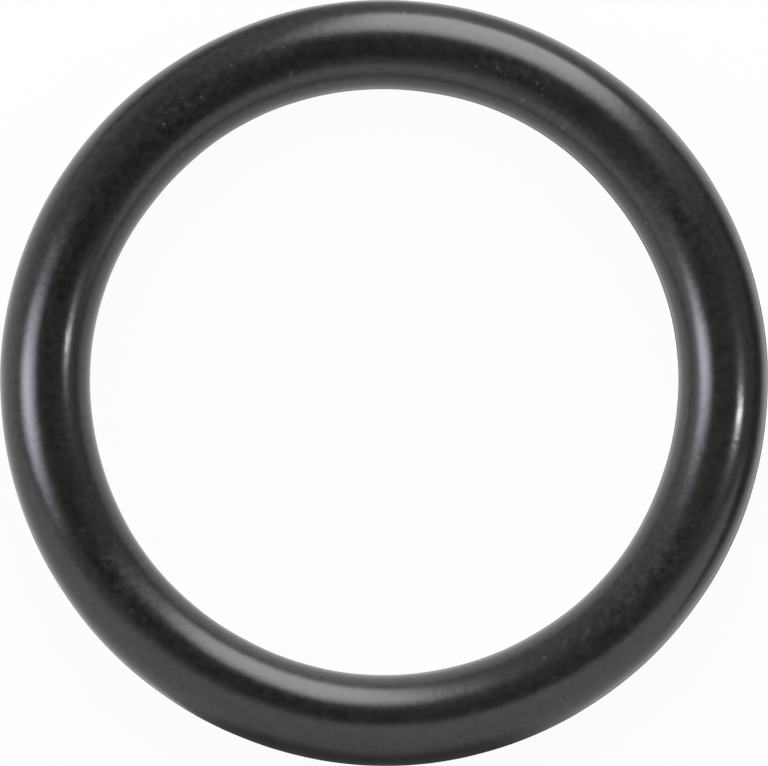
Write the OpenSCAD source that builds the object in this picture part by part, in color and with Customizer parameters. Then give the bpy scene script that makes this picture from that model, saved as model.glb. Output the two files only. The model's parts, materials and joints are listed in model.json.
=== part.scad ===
// Rubber o-ring: one moulded ring of round section, lying flat.
//
// The ring is compression moulded in two halves that meet on the plane z = 0, at the
// middle of the section. Rubber that creeps between the halves leaves a film on the
// outside and the inside of the ring. Trimming takes the film off and leaves a fine
// raised line round both, with a narrow flat land on its crest.
//
// The ring's axis is Z, and the origin is the ring's centre on the parting plane.
// Sizes are in millimetres, free and unstretched.

/* [Ring] */
// Inside diameter of the moulded ring, free and unstretched
inside_d = 23.39; // [8:0.01:120]
// Diameter of the round section, the cord thickness of the ring
section_d = 3.53; // [1:0.01:7]

/* [Parting line] */
// Thickness of the trimmed line, along the ring's axis
line_t = 0.12; // [0.04:0.01:0.3]
// Height that the trimmed line stands proud of the round section
line_proud = 0.03; // [0.01:0.01:0.1]

/* [Hidden] */

// Radius from the ring's axis to the middle of the section
centre_r = (inside_d + section_d) / 2;
// Width of the section across both trimmed lines
width_over_lines = section_d + 2 * line_proud;

round_fn = 192;
section_fn = 96;

// The section as it leaves the mould: a circle, and the line left on its two sides
module section_profile() {
    circle(d = section_d, $fn = section_fn);
    square([width_over_lines, line_t], center = true);
}

// The whole ring, turned about Z
module o_ring() {
    color("#262524")
        rotate_extrude($fn = round_fn)
            translate([centre_r, 0])
                section_profile();
}

o_ring();
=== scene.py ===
import json
import math

import bpy
import numpy as np
from mathutils import Matrix, Vector, noise


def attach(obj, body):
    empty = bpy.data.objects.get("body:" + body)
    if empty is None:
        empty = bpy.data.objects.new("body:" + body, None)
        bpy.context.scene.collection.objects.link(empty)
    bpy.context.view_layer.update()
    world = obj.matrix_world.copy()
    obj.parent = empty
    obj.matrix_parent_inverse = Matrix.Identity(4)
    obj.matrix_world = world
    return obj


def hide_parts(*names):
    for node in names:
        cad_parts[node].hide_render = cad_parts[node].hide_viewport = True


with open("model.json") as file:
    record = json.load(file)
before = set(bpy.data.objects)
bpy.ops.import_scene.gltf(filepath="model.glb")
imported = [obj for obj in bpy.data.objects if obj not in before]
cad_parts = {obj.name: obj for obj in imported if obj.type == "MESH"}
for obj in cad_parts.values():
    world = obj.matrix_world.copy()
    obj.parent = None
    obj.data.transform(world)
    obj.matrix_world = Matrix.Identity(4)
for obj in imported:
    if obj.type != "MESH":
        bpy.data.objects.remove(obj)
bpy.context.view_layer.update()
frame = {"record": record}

# The ring.
# One o-ring of black nitrile rubber, compression moulded between two heated plates that
# each hold half of the round section. It is one piece and has nothing inside.
MM = 0.001
LINE_PROUD = 0.03 * MM
LINE_HALF_THICK = 0.06 * MM
mounts = {mount["name"]: mount for mount in frame["record"]["mounts"]}
bore_radius = mounts["shaft_bore"]["dims"]["r_mm"] * MM
rim_radius = mounts["housing_rim"]["dims"]["r_mm"] * MM
centre_radius = (bore_radius + rim_radius) / 2
section_radius = (rim_radius - bore_radius) / 2 - LINE_PROUD

# The flat land and the rounded edges of the trimmed line, as shares of its half thickness, and
# how far the edges drop, as a share of its height.
LAND_SHARE = 0.45
EDGE_SHARE = 0.80
EDGE_DROP = 0.15

STEPS_ROUND = 720
STEPS_HALF_SECTION = 44

# The faint unevenness of the skin: a coarse ripple with a finer one on it.
RIPPLE_MM = 2.5
RIPPLE_HEIGHT = 0.010 * MM
FINE_RIPPLE_TIMES = 2.1
FINE_RIPPLE_SHARE = 0.35

# The share of the line's height that the trimming keeps, outside and inside the ring.
LINE_KEPT_OUTSIDE = 0.66
LINE_KEPT_INSIDE = 0.40

# The small errors of the mould and the trimming, as waves of (turns, height, start in degrees).
# A scratch script fitted most of those of the section and the roundness to the photo's outline.
# The section is a little thicker than the nominal size, most at the left.
TRIM_WAVES = [(1, 0.25, 275), (11, 0.04, 200), (29, 0.03, 90)]
MEAN_SWELL = 1.0035
SWELL_WAVES = [(1, 0.0045, 90), (3, 0.0053, 183), (6, 0.0029, 8), (7, 0.0039, 333)]
OFF_ROUND_WAVES_MM = [(3, 0.0075, 230), (4, 0.005, 66), (7, 0.009, 175)]


def wave(angle, terms):
    """A smooth closed wave round the ring: each term is (turns, height, start in degrees)."""
    return sum(height * np.cos(turns * angle + math.radians(start)) for turns, height, start in terms)


def section_points():
    """The moulded section, once round, as (outward, up, how far on the parting line).

    The two round halves meet on the plane z = 0, and the trimmed line stands between them.
    """
    first_turn = math.asin(LINE_HALF_THICK / section_radius)
    turns = np.linspace(first_turn, math.pi - first_turn, STEPS_HALF_SECTION + 1)
    upper = [
        (section_radius * math.cos(turn), section_radius * math.sin(turn), 0.0) for turn in turns
    ]
    lower = [(-out, -up, on_line) for out, up, on_line in upper]
    crest = section_radius + LINE_PROUD
    edge = crest - EDGE_DROP * LINE_PROUD
    inner_line = [
        (-edge, EDGE_SHARE * LINE_HALF_THICK, 1.0),
        (-crest, LAND_SHARE * LINE_HALF_THICK, 1.0),
        (-crest, -LAND_SHARE * LINE_HALF_THICK, 1.0),
        (-edge, -EDGE_SHARE * LINE_HALF_THICK, 1.0),
    ]
    outer_line = [(-out, -up, on_line) for out, up, on_line in inner_line]
    return np.array(upper + inner_line + lower + outer_line)


def ripple(point):
    """How far the skin stands out at a point."""
    place = Vector(point) / (RIPPLE_MM * MM)
    fine = noise.noise(place * FINE_RIPPLE_TIMES)
    return RIPPLE_HEIGHT * (noise.noise(place) + FINE_RIPPLE_SHARE * fine)


def ring_mesh(name):
    """The ring as a closed mesh of quads: the section swept round Z with the mould's small errors."""
    section = section_points()
    angle = np.linspace(0.0, 2.0 * math.pi, STEPS_ROUND, endpoint=False)[:, None]
    out, up, on_line = section.T[:, None, :]
    kept = np.where(out > 0.0, LINE_KEPT_OUTSIDE, LINE_KEPT_INSIDE) + wave(angle, TRIM_WAVES)
    out = out - np.sign(out) * on_line * LINE_PROUD * (1.0 - kept)
    swell = MEAN_SWELL + wave(angle, SWELL_WAVES)
    off_round = wave(angle, OFF_ROUND_WAVES_MM) * MM

    def swept(out, up):
        """Every point of the section at every step round the ring."""
        radius = centre_radius + off_round + out * swell
        return np.stack([radius * np.sin(angle), radius * np.cos(angle), up * swell], axis=-1)

    smooth = swept(out, up)
    raised = np.array([ripple(point) for point in smooth.reshape(-1, 3)]).reshape(smooth.shape[:2])
    points = swept(out + raised * out / section_radius, up + raised * up / section_radius)
    count = section.shape[0]
    this, step = np.meshgrid(np.arange(count), np.arange(STEPS_ROUND))
    beside = (this + 1) % count
    next_step = (step + 1) % STEPS_ROUND
    quads = np.stack(
        [
            step * count + this,
            step * count + beside,
            next_step * count + beside,
            next_step * count + this,
        ],
        axis=-1,
    )
    mesh = bpy.data.meshes.new(name)
    mesh.from_pydata(points.reshape(-1, 3).tolist(), [], quads.reshape(-1, 4).tolist())
    mesh.polygons.foreach_set("use_smooth", [True] * len(mesh.polygons))
    mesh.update()
    return mesh


def add_object(name, mesh, material):
    """A mesh object in the scene, with its material."""
    thing = bpy.data.objects.new(name, mesh)
    bpy.context.scene.collection.objects.link(thing)
    mesh.materials.append(material)
    return thing


def linear(hex_colour):
    """An sRGB hex colour as the linear colour that a shader takes."""
    parts = [int(hex_colour[i:i + 2], 16) / 255 for i in (1, 3, 5)]
    return tuple(c / 12.92 if c <= 0.04045 else ((c + 0.055) / 1.055) ** 2.4 for c in parts) + (1.0,)


def add_node(tree, kind, inputs=None, **settings):
    """A node with its settings. Each input, by name or number, is a value or a socket to link."""
    node = tree.nodes.new(kind)
    for key, value in settings.items():
        setattr(node, key, value)
    for key, value in (inputs or {}).items():
        if isinstance(value, bpy.types.NodeSocket):
            tree.links.new(value, node.inputs[key])
        else:
            node.inputs[key].default_value = value
    return node.outputs


def new_material(name):
    """An empty node material and its tree."""
    material = bpy.data.materials.new(name)
    material.use_nodes = True
    material.node_tree.nodes.clear()
    return material, material.node_tree


# Nitrile rubber has an index of about 1.52 to 1.56. The fine polish of the mould is printed
# on its skin, and a thin bloom of wax on that gives a broader sheen. The roughnesses and the
# bloom's share were first fitted together with the lamps by a scratch script, then adjusted.
RUBBER_IOR = 1.55
SKIN_ROUGHNESS = 0.156
FLANK_ROUGHNESS = 0.265
RUBBED_ROUGHNESS = 0.22
BLOOM_SHARE = 0.36
BLOOM_ROUGHNESS = 0.349
RUBBER_BLACK = "#0e0e0c"
BLOOM_GREY = "#33322f"
DUST_GREY = "#6d6a64"

# The specular level at which the shader takes its index as it is.
PLAIN_SPECULAR = 0.5

# The flanks, as the distances from the ring's axis where they start and where they are dullest.
INNER_FLANK_MM = (12.75, 12.25)
OUTER_FLANK_MM = (14.5, 14.85)

# The polish is guessed to leave a grain of about 0.05 mm. That is too fine to show, so it is
# drawn coarser.
GRAIN_MM = 0.27
GRAIN_HEIGHT = 0.007 * MM

# The bloom's patches, which come in between two values of their noise, and how far to each side
# of the ring's middle the bloom grows or thins.
PATCH_MM = 5.0
PATCH_EDGES = (0.38, 0.62)
BLOOM_SPAN_MM = 15.0

# The veins, and how far from their noise's middle value they reach.
VEIN_MM = 0.45
VEIN_REACH = 0.08

# The specks of dust thrown over the skin, with the share of their radius that is their full core,
# and how strong they are beside the placed ones.
DUST_CELL_MM = 0.75
DUST_RADIUS_MM = 0.055
DUST_CORE_SHARE = 0.2
THROWN_DUST = 0.55

# A mark reaches at least this far above and below the skin.
MARK_DEPTH_MM = 0.2

# A Mix node's sockets for colours, by number: those for numbers and vectors have the same names.
COLOUR_A = 6
COLOUR_B = 7
MIXED_COLOUR = 2


def skin_place(clock, tilt):
    """The place on the skin, in mm, at a clock angle and at a tilt outward from the crest."""
    radius = centre_radius + section_radius * math.sin(tilt)
    up = section_radius * math.cos(tilt)
    return Vector((radius * math.sin(clock), radius * math.cos(clock), up)) / MM


def mark(tree, in_mm, clock, tilt, length, width, turn=0, soft=0.6):
    """1 inside an oval mark on the skin and 0 outside it. The angles are in degrees, the sizes in mm.

    The length lies along the ring, turned by turn degrees. soft is the faded share of its radius.
    """
    clock, tilt, turn = math.radians(clock), math.radians(tilt), math.radians(turn)
    ahead = Vector((math.cos(clock), -math.sin(clock), 0.0))
    outward = Vector((math.sin(clock), math.cos(clock), 0.0))
    normal = outward * math.sin(tilt) + Vector((0.0, 0.0, math.cos(tilt)))
    along = ahead * math.cos(turn) + normal.cross(ahead) * math.sin(turn)
    axes = Matrix((along, normal.cross(along), normal)).transposed()
    local = add_node(
        tree,
        "ShaderNodeMapping",
        {
            "Vector": in_mm,
            "Location": skin_place(clock, tilt),
            "Rotation": axes.to_euler(),
            "Scale": (length / 2, width / 2, max(width / 2, MARK_DEPTH_MM)),
        },
        vector_type="TEXTURE",
    )["Vector"]
    reach = add_node(tree, "ShaderNodeVectorMath", {0: local}, operation="LENGTH")["Value"]
    # A smooth step stays within 0 and 1 by itself, so it needs no clamp.
    return add_node(
        tree,
        "ShaderNodeMapRange",
        {"Value": reach, "From Min": 1.0, "From Max": 1.0 - soft},
        interpolation_type="SMOOTHSTEP",
        clamp=False,
    )["Result"]


def most(tree, values):
    """The highest of several values, which are each made and joined in turn."""
    highest = 0.0
    for value in values:
        highest = add_node(tree, "ShaderNodeMath", {0: highest, 1: value}, operation="MAXIMUM")["Value"]
    return highest


def sum_of(tree, *terms):
    """The sum of values, each with its weight."""
    total = 0.0
    for value, weight in terms:
        inputs = {0: value, 1: weight, 2: total}
        total = add_node(tree, "ShaderNodeMath", inputs, operation="MULTIPLY_ADD")["Value"]
    return total


# The places of the dust, scuffs, pits and rubbed stretches were read from the enlarged photo.
# Scratch scripts worked out most tilts and made the dust's diameters half as large again.

# Dust that clings to the ring, as (clock angle, tilt, diameter).
DUST = [
    (3.2, 40, 0.22), (5.6, 41, 0.17), (16.3, -18, 0.20), (20.0, -11, 0.21), (20.8, -14, 0.15),
    (21.6, -17, 0.14), (27.4, -9, 0.20), (28.6, -13, 0.14), (29.1, -20, 0.15), (32.1, -33, 0.14),
    (26.4, -38, 0.24), (35.4, -44, 0.27), (59.1, -50, 0.24), (74.3, 59, 0.18), (79.0, 58, 0.24),
    (113.5, 46, 0.20), (150.1, 37, 0.14), (150.3, -24, 0.21), (150.4, 5, 0.14), (235.0, 48, 0.18),
    (319.0, -4, 0.18), (327.0, -5, 0.18), (343.0, -27, 0.21), (334.0, 12, 0.14), (343.2, 10, 0.14),
    (318.0, -56, 0.18),
]
# Scuffs, as (clock angle, tilt, length, width, turn).
SCUFFS = [
    (141.0, -22, 0.9, 0.30, 38), (142.6, -17, 0.6, 0.22, 46), (145.8, -27, 0.7, 0.28, 30),
    (138.4, -20, 0.5, 0.24, 44), (152.7, -55, 0.5, 0.16, 12), (237.0, -12, 1.1, 0.30, 55),
    (243.0, -4, 0.5, 0.20, 40),
]
# Small pits, which the material also paints darker as shade, as (clock angle, tilt, diameter).
PITS = [
    (46.9, -50, 0.12), (48.9, -51, 0.14), (48.7, 21, 0.12), (50.7, -12, 0.12), (271.8, -16, 0.13),
    (331.0, -27, 0.11), (343.8, -28, 0.09),
]
# Rubbed stretches, where the grain is coarser and the gloss is less, as (clock angle, tilt, length, width).
RUBBED = [
    (58, -8, 6.5, 3.0), (128, -10, 9.5, 2.6), (22, -8, 5.5, 2.0), (291, 16, 5.0, 2.4),
    (231, -14, 6.0, 3.0), (322, -6, 6.0, 2.0),
]


def moulded_nitrile_rubber():
    """Black nitrile rubber from a polished steel mould.

    Near black and satin, with a faint grey bloom, a fine grain, and the dust and scuffs of handling.
    """
    material, tree = new_material("moulded_nitrile_rubber")
    place = add_node(tree, "ShaderNodeTexCoord")["Object"]
    scaled = {0: place, 1: (1 / MM, 1 / MM, 1 / MM)}
    in_mm = add_node(tree, "ShaderNodeVectorMath", scaled, operation="MULTIPLY")["Vector"]
    axes = add_node(tree, "ShaderNodeSeparateXYZ", {0: in_mm})
    patches = add_node(
        tree, "ShaderNodeTexNoise", {"Vector": in_mm, "Scale": 1 / PATCH_MM, "Detail": 2.0}
    )["Fac"]
    grain = add_node(
        tree, "ShaderNodeTexNoise", {"Vector": in_mm, "Scale": 1 / GRAIN_MM, "Detail": 1.5}
    )["Fac"]
    rubbed = most(tree, (mark(tree, in_mm, *values, soft=1.0) for values in RUBBED))
    pits_with_painted_shade = most(tree, (mark(tree, in_mm, clock, tilt, size, size) for clock, tilt, size in PITS))
    scuffs = most(tree, (mark(tree, in_mm, *values, soft=0.9) for values in SCUFFS))

    # Veins: winding lines where a second noise crosses its middle value, on the rubbed stretches.
    winding = add_node(
        tree,
        "ShaderNodeTexNoise",
        {"Vector": in_mm, "Scale": 1 / VEIN_MM, "Detail": 1.0, "Distortion": 0.8},
    )["Fac"]
    off_middle = add_node(tree, "ShaderNodeMath", {0: winding, 1: 0.5}, operation="SUBTRACT")["Value"]
    off_middle = add_node(tree, "ShaderNodeMath", {0: off_middle}, operation="ABSOLUTE")["Value"]
    veins = add_node(
        tree, "ShaderNodeMapRange", {"Value": off_middle, "From Min": VEIN_REACH, "From Max": 0.0}
    )["Result"]
    veins = add_node(tree, "ShaderNodeMath", {0: veins, 1: rubbed}, operation="MULTIPLY")["Value"]

    # Dust: specks thrown over the whole skin, where a cell's middle lies in it, and placed ones.
    # The placed ones are left out of the relief below, as their number would overfill the shader.
    distance = add_node(
        tree, "ShaderNodeTexVoronoi", {"Vector": in_mm, "Scale": 1 / DUST_CELL_MM}
    )["Distance"]
    thrown = add_node(
        tree,
        "ShaderNodeMapRange",
        {
            "Value": distance,
            "From Min": DUST_RADIUS_MM / DUST_CELL_MM,
            "From Max": DUST_CORE_SHARE * DUST_RADIUS_MM / DUST_CELL_MM,
            "To Max": THROWN_DUST,
        },
    )["Result"]
    placed = most(
        tree, (mark(tree, in_mm, clock, tilt, size, size, soft=1.0) for clock, tilt, size in DUST)
    )
    dust = most(tree, (thrown, placed))

    # The skin is greyer towards the right of the ring. The bloom lies in patches and is broken by
    # the grain, and the pits are painted darker as shade.
    to_right = add_node(
        tree,
        "ShaderNodeMapRange",
        {"Value": axes["X"], "From Min": -BLOOM_SPAN_MM, "From Max": BLOOM_SPAN_MM},
    )["Result"]
    patch = add_node(
        tree,
        "ShaderNodeMapRange",
        {"Value": patches, "From Min": PATCH_EDGES[0], "From Max": PATCH_EDGES[1]},
    )["Result"]
    coarseness = sum_of(tree, (rubbed, 1.0), (1.0, 0.95))
    uneven = add_node(tree, "ShaderNodeMath", {0: grain, 1: 0.5}, operation="SUBTRACT")["Value"]
    uneven = add_node(tree, "ShaderNodeMath", {0: uneven, 1: coarseness}, operation="MULTIPLY")["Value"]
    bloom = sum_of(
        tree,
        (to_right, 0.20),
        (patch, 0.10),
        (uneven, 1.0),
        (rubbed, 0.17),
        (veins, -0.34),
        (pits_with_painted_shade, -0.5),
        (1.0, 0.21),
    )
    black = add_node(
        tree,
        "ShaderNodeMix",
        {"Factor": bloom, COLOUR_A: linear(RUBBER_BLACK), COLOUR_B: linear(BLOOM_GREY)},
        data_type="RGBA",
    )[MIXED_COLOUR]
    colour = add_node(
        tree,
        "ShaderNodeMix",
        {
            "Factor": sum_of(tree, (dust, 0.45), (scuffs, 0.11)),
            COLOUR_A: black,
            COLOUR_B: linear(DUST_GREY),
        },
        data_type="RGBA",
    )[MIXED_COLOUR]

    # The crest is glossiest. The flanks beside the parting line, which the trimming tumbles, and
    # the rubbed stretches are duller.
    from_axis = add_node(tree, "ShaderNodeCombineXYZ", {0: axes["X"], 1: axes["Y"]})["Vector"]
    from_axis = add_node(tree, "ShaderNodeVectorMath", {0: from_axis}, operation="LENGTH")["Value"]

    def duller(value, start, end, dullest):
        """The roughness of the skin, which rises to dullest as the value goes from start to end."""
        return add_node(
            tree,
            "ShaderNodeMapRange",
            {
                "Value": value,
                "From Min": start,
                "From Max": end,
                "To Min": SKIN_ROUGHNESS,
                "To Max": dullest,
            },
        )["Result"]

    roughness = most(
        tree,
        (
            duller(from_axis, *INNER_FLANK_MM, FLANK_ROUGHNESS),
            duller(from_axis, *OUTER_FLANK_MM, FLANK_ROUGHNESS),
            duller(rubbed, 0.0, 1.0, RUBBED_ROUGHNESS),
        ),
    )

    height = sum_of(tree, (grain, 0.65), (veins, -0.06), (thrown, 0.3), (pits_with_painted_shade, -0.4), (scuffs, 0.2))
    bump = add_node(tree, "ShaderNodeBump", {"Height": height, "Distance": GRAIN_HEIGHT})["Normal"]
    shader = add_node(
        tree,
        "ShaderNodeBsdfPrincipled",
        {
            "Base Color": colour,
            "Roughness": roughness,
            "IOR": RUBBER_IOR,
            "Specular IOR Level": PLAIN_SPECULAR * (1.0 - BLOOM_SHARE),
            "Coat Weight": BLOOM_SHARE,
            "Coat Roughness": BLOOM_ROUGHNESS,
            "Coat IOR": RUBBER_IOR,
            "Normal": bump,
            "Coat Normal": bump,
        },
    )["BSDF"]
    add_node(tree, "ShaderNodeOutputMaterial", {"Surface": shader})
    return material


ring = add_object("moulded_ring", ring_mesh("moulded_ring"), moulded_nitrile_rubber())
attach(ring, "root")
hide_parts("o_ring")

# The floor.
# A pale matt table top of white laminate, which the ring lies on. It reads as white, and keeps a
# faint shadow. The ring mirrors a little less of it at the right than at the left.
FLOOR_SIZE = 4.0
SEEN_SHARE = 0.96
# Mirrored rays see more of the table's glow at the left: a painted pool of the left lamp's light.
MIRRORED_SHARE_LEFT = 0.97
MIRRORED_SHARE_RIGHT = 0.82
LEFT_ENDS = -15 * MM
RIGHT_STARTS = -5 * MM


def card_mesh(name, corners):
    """One flat four-cornered card."""
    mesh = bpy.data.meshes.new(name)
    mesh.from_pydata(corners, [], [tuple(range(len(corners)))])
    mesh.update()
    return mesh


def white_floor():
    """Matt white laminate, lifted to white for the camera and for mirrored and seen-through rays."""
    material, tree = new_material("matt_white_table")
    matt = add_node(tree, "ShaderNodeBsdfDiffuse", {"Color": linear("#eaeaea")})["BSDF"]
    glow = add_node(tree, "ShaderNodeEmission", {"Color": linear("#ffffff"), "Strength": 1.0})["Emission"]
    ray = add_node(tree, "ShaderNodeLightPath")
    straight = {0: ray["Is Camera Ray"], 1: ray["Is Transmission Ray"]}
    seen = add_node(tree, "ShaderNodeMath", straight, operation="MAXIMUM")["Value"]
    seen = add_node(tree, "ShaderNodeMath", {0: seen, 1: SEEN_SHARE}, operation="MULTIPLY")["Value"]
    position = add_node(tree, "ShaderNodeNewGeometry")["Position"]
    place = add_node(tree, "ShaderNodeSeparateXYZ", {0: position})
    # The mirrored glow is larger at the left, a painted pool of the left lamp's light.
    mirror_share = add_node(
        tree,
        "ShaderNodeMapRange",
        {
            "Value": place["X"],
            "From Min": LEFT_ENDS,
            "From Max": RIGHT_STARTS,
            "To Min": MIRRORED_SHARE_LEFT,
            "To Max": MIRRORED_SHARE_RIGHT,
        },
    )["Result"]
    glossy = {0: ray["Is Glossy Ray"], 1: mirror_share}
    mirrored = add_node(tree, "ShaderNodeMath", glossy, operation="MULTIPLY")["Value"]
    share = add_node(tree, "ShaderNodeMath", {0: seen, 1: mirrored}, operation="MAXIMUM")["Value"]
    mixed = add_node(tree, "ShaderNodeMixShader", {0: share, 1: matt, 2: glow})["Shader"]
    add_node(tree, "ShaderNodeOutputMaterial", {"Surface": mixed})
    return material


half = FLOOR_SIZE / 2
table_z = min(vertex.co.z for vertex in ring.data.vertices)
floor_corners = [
    (-half, -half, table_z),
    (half, -half, table_z),
    (half, half, table_z),
    (-half, half, table_z),
]
floor = add_object("floor", card_mesh("floor", floor_corners), white_floor())

# The cards beside the ring.
# Matt cards of painted board stand and lie round the ring, to shape what its gloss mirrors.
# They thin out to nothing at their edges, and only reflections see them. The sizes and greys of
# most were first fitted together with the lamps by a scratch script, then adjusted.
LYING_Z = table_z + 0.2 * MM
LYING_REACH = 90 * MM
LYING_FAR = 120 * MM


def matt_card(name, colour, fades=()):
    """Matt painted board, an even tone without gloss, that thins out to nothing where it fades.

    Each fade is (axis, where it is clear, where it is whole), in metres.
    """
    material, tree = new_material(name)
    shader = add_node(tree, "ShaderNodeBsdfDiffuse", {"Color": linear(colour)})["BSDF"]
    position = add_node(tree, "ShaderNodeNewGeometry")["Position"]
    place = add_node(tree, "ShaderNodeSeparateXYZ", {0: position})
    clear = add_node(tree, "ShaderNodeBsdfTransparent")["BSDF"]
    for axis, nothing, whole in fades:
        share = add_node(
            tree,
            "ShaderNodeMapRange",
            {"Value": place[axis], "From Min": nothing, "From Max": whole},
            interpolation_type="SMOOTHSTEP",
        )["Result"]
        shader = add_node(tree, "ShaderNodeMixShader", {0: share, 1: clear, 2: shader})["Shader"]
    add_node(tree, "ShaderNodeOutputMaterial", {"Surface": shader})
    return material


def add_card(name, corners, material):
    """A card that is there for reflections, and neither shows, nor shades, nor lights anything else."""
    card = add_object(name, card_mesh(name, corners), material)
    card.visible_camera = False
    card.visible_diffuse = False
    card.visible_shadow = False
    card.visible_transmission = False


def lying(left, right, near, far, left_z=LYING_Z, right_z=LYING_Z):
    """The corners of a card that lies on the table, or rises from it towards the right."""
    return [(left, near, left_z), (right, near, right_z), (right, far, right_z), (left, far, left_z)]


def standing(left, right, y, top):
    """The corners of a card that stands on the table, square to Y."""
    return [(left, y, table_z), (right, y, table_z), (right, y, top), (left, y, top)]


# A white card stands in front and bounces the back lamp's light on to the ring.
WHITE_Y = -20.5 * MM
WHITE_LEFT = -148 * MM
WHITE_RIGHT = 198 * MM
WHITE_TOP = 24.5 * MM
WHITE_FADE = 10.0 * MM
white_end = WHITE_TOP + WHITE_FADE
add_card(
    "white_card",
    standing(WHITE_LEFT, WHITE_RIGHT, WHITE_Y, white_end),
    matt_card("white_bounce_card", "#fafafc", [("Z", white_end, WHITE_TOP - WHITE_FADE)]),
)

# A grey strip, the ring's painted shadow, lies on the table before the white card, and its foot rises a
# little way up the card.
STRIP_MIDDLE_X = -0.9 * MM
STRIP_HALF_X = 8.5 * MM
STRIP_FADE = 3.0 * MM
STRIP_FAR = -13.6 * MM
STRIP_RISE = 4.5 * MM
FOOT_Y = WHITE_Y + 0.1 * MM
PAINTED_SHADOW_GREY = "#898989"
strip_left = STRIP_MIDDLE_X - STRIP_HALF_X
strip_right = STRIP_MIDDLE_X + STRIP_HALF_X
strip_top = table_z + STRIP_RISE
strip_fades = [
    ("X", strip_left - STRIP_FADE, strip_left + STRIP_FADE),
    ("X", strip_right + STRIP_FADE, strip_right - STRIP_FADE),
]
add_card(
    "painted_shadow_strip",
    lying(strip_left - STRIP_FADE, strip_right + STRIP_FADE, WHITE_Y, STRIP_FAR),
    matt_card("painted_shadow_strip_card", PAINTED_SHADOW_GREY, strip_fades),
)
# The foot carries the same painted shadow a little way up the white card.
add_card(
    "painted_shadow_foot",
    standing(strip_left - STRIP_FADE, strip_right + STRIP_FADE, FOOT_Y, strip_top),
    matt_card("painted_shadow_foot_card", PAINTED_SHADOW_GREY, strip_fades + [("Z", strip_top, table_z)]),
)

# A black card lies at the right, and rises away from the ring.
BLACK_LEFT = 17.9 * MM
BLACK_WHOLE_X = 19.9 * MM
BLACK_WHOLE_Y = -14.0 * MM
BLACK_RIGHT_Z = 8.0 * MM
add_card(
    "black_card",
    lying(BLACK_LEFT, LYING_REACH, WHITE_Y, LYING_FAR, right_z=BLACK_RIGHT_Z),
    matt_card(
        "black_flag_card",
        "#101010",
        [("X", BLACK_LEFT, BLACK_WHOLE_X), ("Y", WHITE_Y, BLACK_WHOLE_Y)],
    ),
)

# A pale grey card lies behind the ring, with a darker one over its left part.
GREY_NEAR = 16.5 * MM
GREY_WHOLE_Y = 17.5 * MM
GREY_RIGHT = 18.9 * MM
SHADE_RIGHT = 4.0 * MM
SHADE_WHOLE_X = -8.0 * MM
SHADE_Z = LYING_Z + 0.1 * MM
add_card(
    "grey_card",
    lying(-LYING_REACH, GREY_RIGHT, GREY_NEAR, LYING_FAR),
    matt_card("grey_flag_card", "#aaaaaa", [("Y", GREY_NEAR, GREY_WHOLE_Y)]),
)
add_card(
    "shade_card",
    lying(-LYING_REACH, SHADE_RIGHT, GREY_NEAR, LYING_FAR, SHADE_Z, SHADE_Z),
    matt_card(
        "shade_flag_card",
        "#6c6c6c",
        [("Y", GREY_NEAR, GREY_WHOLE_Y), ("X", SHADE_RIGHT, SHADE_WHOLE_X)],
    ),
)

# A grey card stands close behind the white one and shows above it as a haze.
HAZE_Y = WHITE_Y - 0.5 * MM
HAZE_LEFT = -40 * MM
HAZE_WHOLE_LEFT = -20 * MM
HAZE_WHOLE_RIGHT = -5 * MM
HAZE_RIGHT = 15 * MM
HAZE_WHOLE_Z = 40 * MM
HAZE_TOP = 62 * MM
add_card(
    "haze_card",
    standing(HAZE_LEFT, HAZE_RIGHT, HAZE_Y, HAZE_TOP),
    matt_card(
        "haze_card",
        "#8c8c8c",
        [
            ("Z", HAZE_TOP, HAZE_WHOLE_Z),
            ("X", HAZE_RIGHT, HAZE_WHOLE_RIGHT),
            ("X", HAZE_LEFT, HAZE_WHOLE_LEFT),
        ],
    ),
)


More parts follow.
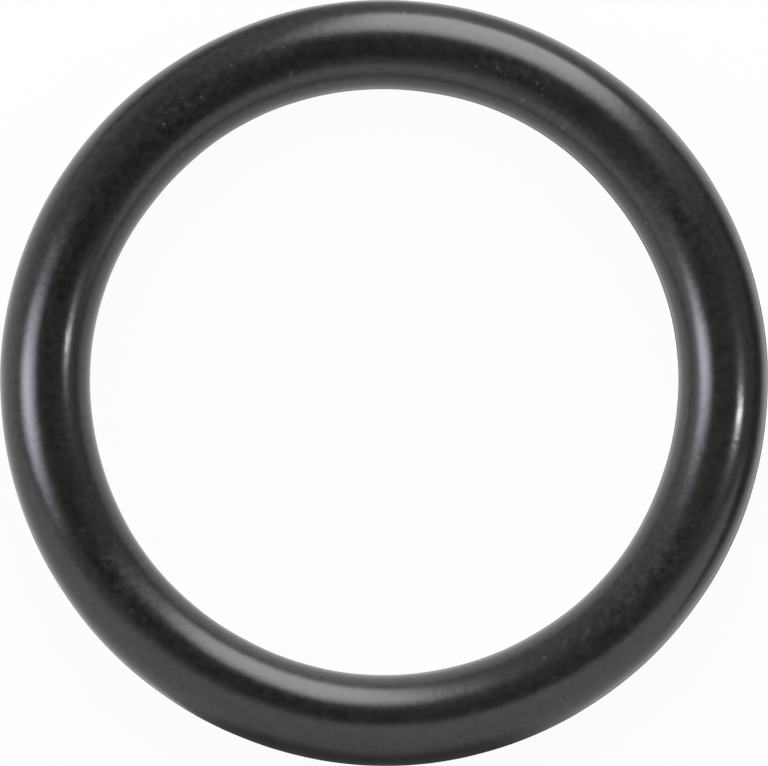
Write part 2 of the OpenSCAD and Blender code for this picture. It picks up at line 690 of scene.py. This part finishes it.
# The lamps.
# Three soft boxes: a large one behind, a softer one at the left and a narrow one at the
# right. Each face is brightest at its middle and fades to its edges, as a diffuser does.
# A scratch script fitted them to what the ring mirrors in the photo, and they were then adjusted.
def soft_box(name, azimuth, zenith, distance, size, middle, squareness, soft, roll, radiance, colour):
    """A lamp that faces the ring's middle, over which it stands at a clock angle and a zenith angle.

    The angles are in degrees. distance and size, its width and height, are in metres. middle is
    how far up its face the brightest place is, as a share. squareness is 2 for an oval face and
    more for a squarer one. soft is the faded share of its radius.
    """
    width, height = size
    lamp = bpy.data.lights.new(name, "AREA")
    lamp.shape = "RECTANGLE"
    lamp.size = width
    lamp.size_y = height
    lamp.energy = radiance * math.pi * width * height
    lamp.color = linear(colour)[:3]
    lamp.use_nodes = True
    tree = lamp.node_tree
    tree.nodes.clear()
    parametric = add_node(tree, "ShaderNodeNewGeometry")["Parametric"]
    face = add_node(tree, "ShaderNodeSeparateXYZ", {0: parametric})

    def reach(value, start, end):
        """How far from start to end a place is, to the power of the squareness, or 0 on the other side."""
        share = add_node(
            tree, "ShaderNodeMapRange", {"Value": value, "From Min": start, "From Max": end}
        )["Result"]
        return add_node(tree, "ShaderNodeMath", {0: share, 1: squareness}, operation="POWER")["Value"]

    ways = [
        reach(face["X"], 0.5, 1.0),
        reach(face["X"], 0.5, 0.0),
        reach(face["Y"], middle, 1.0),
        reach(face["Y"], middle, 0.0),
    ]
    total = sum_of(tree, *[(way, 1.0) for way in ways])
    radius = add_node(tree, "ShaderNodeMath", {0: total, 1: 1 / squareness}, operation="POWER")["Value"]
    strength = add_node(
        tree,
        "ShaderNodeMapRange",
        {"Value": radius, "From Min": 1.0, "From Max": 1.0 - soft},
        interpolation_type="SMOOTHSTEP",
    )["Result"]
    glow = add_node(tree, "ShaderNodeEmission", {"Strength": strength})["Emission"]
    add_node(tree, "ShaderNodeOutputLight", {"Surface": glow})
    thing = bpy.data.objects.new(name, lamp)
    bpy.context.scene.collection.objects.link(thing)
    thing.matrix_world = (
        Matrix.Rotation(math.radians(180.0 - azimuth), 4, "Z")
        @ Matrix.Rotation(math.radians(zenith), 4, "X")
        @ Matrix.Translation((0.0, 0.0, distance))
        @ Matrix.Rotation(math.radians(roll), 4, "Z")
        @ Matrix.Translation((0.0, (0.5 - middle) * height, 0.0))
    )
    thing.visible_camera = False


soft_box(
    "back_lamp",
    azimuth=15.7,
    zenith=69.8,
    distance=0.136,
    size=(0.141, 0.188),
    middle=0.254,
    squareness=2.77,
    soft=0.57,
    roll=-5.5,
    radiance=6.25,
    colour="#fdfcff",
)
soft_box(
    "left_lamp",
    azimuth=272.7,
    zenith=51.0,
    distance=0.140,
    size=(0.093, 0.147),
    middle=0.410,
    squareness=1.58,
    soft=1.0,
    roll=13.0,
    radiance=12.7,
    colour="#f1f3ff",
)
soft_box(
    "right_lamp",
    azimuth=91.0,
    zenith=51.3,
    distance=0.110,
    size=(0.003, 0.044),
    middle=0.5,
    squareness=2.0,
    soft=1.0,
    roll=-2.5,
    radiance=190.0,
    colour="#fdfdff",
)

# The room.
# Dim overhead, paler towards the left, and pale along the horizon, where the table ends.
# The strengths were first fitted together with the lamps.
LEFT_WALL = 0.95
RIGHT_WALL = 0.34
BACK_WALL = 0.08
ROOM_WHITE = "#f6f7ff"
HORIZON_LIGHT = 0.75
HORIZON_WHOLE_Z = 0.025
HORIZON_ENDS_Z = 0.045
world = bpy.data.worlds.new("room")
bpy.context.scene.world = world
world.use_nodes = True
room = world.node_tree
room.nodes.clear()
direction = add_node(room, "ShaderNodeTexCoord")["Generated"]
look = add_node(room, "ShaderNodeSeparateXYZ", {0: direction})
lower = add_node(room, "ShaderNodeMath", {0: 1.0, 1: look["Z"]}, operation="SUBTRACT")["Value"]


def side_light(value, strength):
    """Light from the side that value points to."""
    one_way = add_node(room, "ShaderNodeMath", {0: value, 1: 0.0}, operation="MAXIMUM")["Value"]
    return add_node(room, "ShaderNodeMath", {0: one_way, 1: strength}, operation="MULTIPLY")["Value"]


to_left = add_node(room, "ShaderNodeMath", {0: look["X"], 1: -1.0}, operation="MULTIPLY")["Value"]
walls = sum_of(
    room,
    (side_light(to_left, LEFT_WALL), lower),
    (side_light(look["X"], RIGHT_WALL), lower),
    (side_light(look["Y"], BACK_WALL), lower),
)
horizon = add_node(
    room,
    "ShaderNodeMapRange",
    {
        "Value": look["Z"],
        "From Min": HORIZON_WHOLE_Z,
        "From Max": HORIZON_ENDS_Z,
        "To Min": HORIZON_LIGHT,
        "To Max": 0.0,
    },
)["Result"]
strength = add_node(room, "ShaderNodeMath", {0: walls, 1: horizon}, operation="MAXIMUM")["Value"]
background = add_node(
    room, "ShaderNodeBackground", {"Color": linear(ROOM_WHITE), "Strength": strength}
)["Background"]
add_node(room, "ShaderNodeOutputWorld", {"Surface": background})

# The camera.
# Nearly overhead, with a long lens, so that the ring just fills the frame.
# A scratch script fitted the lens and the aim to the ring's outline in the photo.
CAMERA_DISTANCE = 361.0 * MM
CAMERA_TILT = math.radians(4.4)
LENS_MM = 426.0
SENSOR_MM = 36.0
CLIP_START = 10 * MM
AIM_X = -0.0105 * MM
AIM_Y = -0.068 * MM
lens = bpy.data.cameras.new("camera")
lens.lens = LENS_MM
lens.sensor_width = SENSOR_MM
lens.clip_start = CLIP_START
camera = bpy.data.objects.new("camera", lens)
bpy.context.scene.collection.objects.link(camera)
camera.location = (
    AIM_X,
    AIM_Y - CAMERA_DISTANCE * math.sin(CAMERA_TILT),
    CAMERA_DISTANCE * math.cos(CAMERA_TILT),
)
camera.rotation_euler = (CAMERA_TILT, 0.0, 0.0)
bpy.context.scene.camera = camera
bpy.context.scene.view_settings.view_transform = "Standard"
